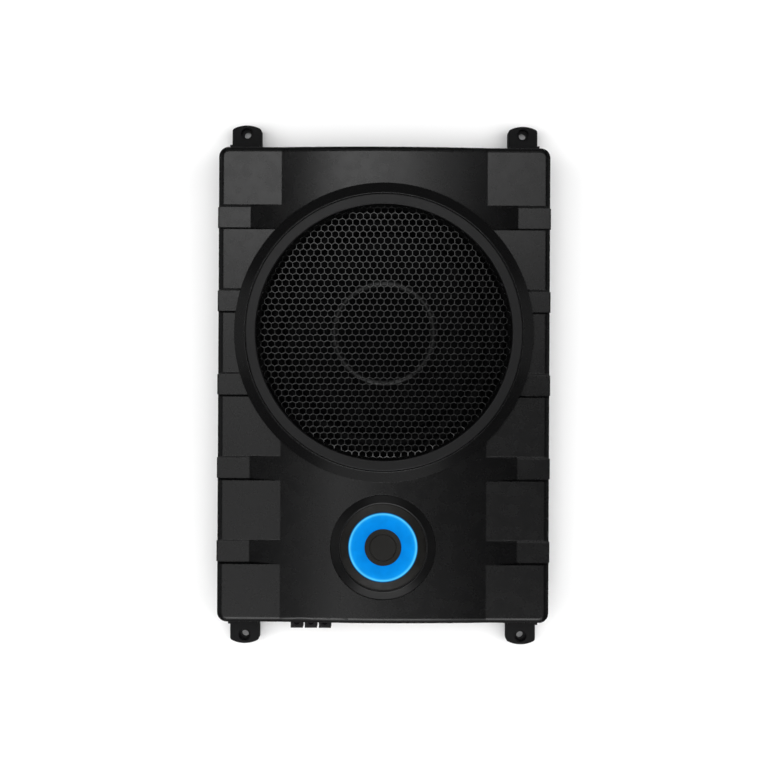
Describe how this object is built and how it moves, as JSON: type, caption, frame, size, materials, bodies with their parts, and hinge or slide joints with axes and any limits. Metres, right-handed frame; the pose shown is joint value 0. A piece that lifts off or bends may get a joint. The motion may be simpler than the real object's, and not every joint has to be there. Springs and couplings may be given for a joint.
{
  "type": "powered car subwoofer",
  "caption": "Slim powered car subwoofer: flat arched housing with side pads, round perforated grille, lit round badge, screw-down feet and a recessed control panel at one end",
  "frame": {"origin": "on the floor under the middle of the object", "axes": "+Z up out of the grille, +Y towards the end that the driver is nearer to, the control panel faces -Y, +X to the right seen from above with +Y up"},
  "size_m": [0.247, 0.394, 0.07],
  "materials": {
    "housing_shell": "satin black moulded plastic with a fine grain",
    "black_sheet": "black powder-coated sheet steel",
    "gasket_foam": "closed-cell foam strip",
    "zinc_screws": "zinc-plated steel",
    "black_screws": "black-oxide steel",
    "grille_trim": "satin black trim ring",
    "grille_sheet": "black hexagon-perforated steel sheet",
    "basket_steel": "black-painted pressed steel",
    "cone_paper": "black coated paper pulp",
    "cap_plastic": "matt black moulded cap",
    "surround_rubber": "black rubber roll",
    "spider_cloth": "varnished woven cloth",
    "former_film": "thin aluminium former",
    "copper_wire": "enamelled copper wire",
    "plated_steel": "zinc-plated steel plate",
    "ferrite": "dark grey ferrite",
    "boot_rubber": "black rubber band",
    "terminal_phenolic": "brown phenolic board with plated lugs",
    "badge_trim": "satin-gloss black moulded bezel",
    "badge_flat": "flat black ring",
    "badge_glow": "translucent light guide lit blue from behind",
    "badge_centre": "dark grey disc",
    "circuit_board": "green solder-masked glass-fibre board",
    "led_package": "white LED packages with clear lenses",
    "lamp_lens": "tinted LED lenses",
    "heat_sink_metal": "plain extruded aluminium",
    "transistor_epoxy": "black moulded epoxy",
    "spring_steel": "spring steel strip",
    "capacitor_sleeve": "dark blue shrink sleeve with bare can top",
    "jack_plating": "plated phono sockets on black blocks",
    "socket_plastic": "black connector housing",
    "fuse_body": "tinted plastic fuses",
    "pot_casing": "pressed potentiometer cases",
    "knob_plastic": "black knob with a white pointer line",
    "slider_plastic": "pale slide-switch button",
    "foot_casting": "black-coated cast feet",
    "lead_insulation": "insulated stranded leads"
  },
  "bodies": {
    "root": {"amplifier_board": "circuit_board", "badge_bezel": "badge_trim", "badge_emblem": "badge_centre", "badge_led_board": "circuit_board", "badge_leds": "led_package", "badge_lens": "badge_glow", "badge_ring": "badge_flat", "base_gasket": "gasket_foam", "base_plate": "black_sheet", "base_screws": "black_screws", "board_screws": "zinc_screws", "board_standoffs": "zinc_screws", "cone_surround": "surround_rubber", "control_panel": "black_sheet", "control_panel_screws": "black_screws", "filter_capacitors": "capacitor_sleeve", "filter_choke": "ferrite", "fuse_holder": "socket_plastic", "fuses": "fuse_body", "grille_clips": "grille_trim", "grille_mesh": "grille_sheet", "grille_ring": "grille_trim", "heat_sink": "heat_sink_metal", "high_level_socket": "socket_plastic", "housing": "housing_shell", "indicator_lamps": "lamp_lens", "magnet_boot": "boot_rubber", "mounting_foot_front_left": "foot_casting", "mounting_foot_front_right": "foot_casting", "mounting_foot_rear_left": "foot_casting", "mounting_foot_rear_right": "foot_casting", "mounting_foot_screws": "black_screws", "phase_switch_body": "socket_plastic", "pole_plate": "plated_steel", "potentiometers": "pot_casing", "power_terminal_block": "socket_plastic", "power_transistors": "transistor_epoxy", "rca_jacks": "jack_plating", "remote_socket": "socket_plastic", "ring_magnet": "ferrite", "speaker_basket": "basket_steel", "speaker_gasket": "gasket_foam", "speaker_leads": "lead_insulation", "speaker_screws": "black_screws", "speaker_terminals": "terminal_phenolic", "spider": "spider_cloth", "terminal_screws": "zinc_screws", "top_plate": "plated_steel", "toroid_core": "ferrite", "toroid_winding": "copper_wire", "transistor_clips": "spring_steel"},
    "cone_assembly": {"speaker_cone": "cone_paper", "dust_cap": "cap_plastic", "voice_coil_former": "former_film", "voice_coil": "copper_wire"},
    "gain_control": {"gain_knob": "knob_plastic"},
    "crossover_control": {"crossover_knob": "knob_plastic"},
    "boost_control": {"boost_knob": "knob_plastic"},
    "phase_control": {"phase_slider": "slider_plastic"}
  },
  "joints": [
    {"name": "cone_travel", "type": "slide", "parent": "root", "child": "cone_assembly", "axis": [0, 0, 1], "range_m": [-0.005, 0.005], "stiffness_N_per_m": 3000, "deforming": ["cone_surround", "spider"]},
    {"name": "gain_turn", "type": "hinge", "parent": "root", "child": "gain_control", "pos_m": [0.032, -0.168, 0.035], "axis": [0, 1, 0], "range_deg": [-135, 135]},
    {"name": "crossover_turn", "type": "hinge", "parent": "root", "child": "crossover_control", "pos_m": [0.05, -0.168, 0.035], "axis": [0, 1, 0], "range_deg": [-135, 135]},
    {"name": "boost_turn", "type": "hinge", "parent": "root", "child": "boost_control", "pos_m": [0.068, -0.168, 0.035], "axis": [0, 1, 0], "range_deg": [-135, 135]},
    {"name": "phase_slide", "type": "slide", "parent": "root", "child": "phase_control", "axis": [1, 0, 0], "range_m": [0, 0.003]}
  ]
}
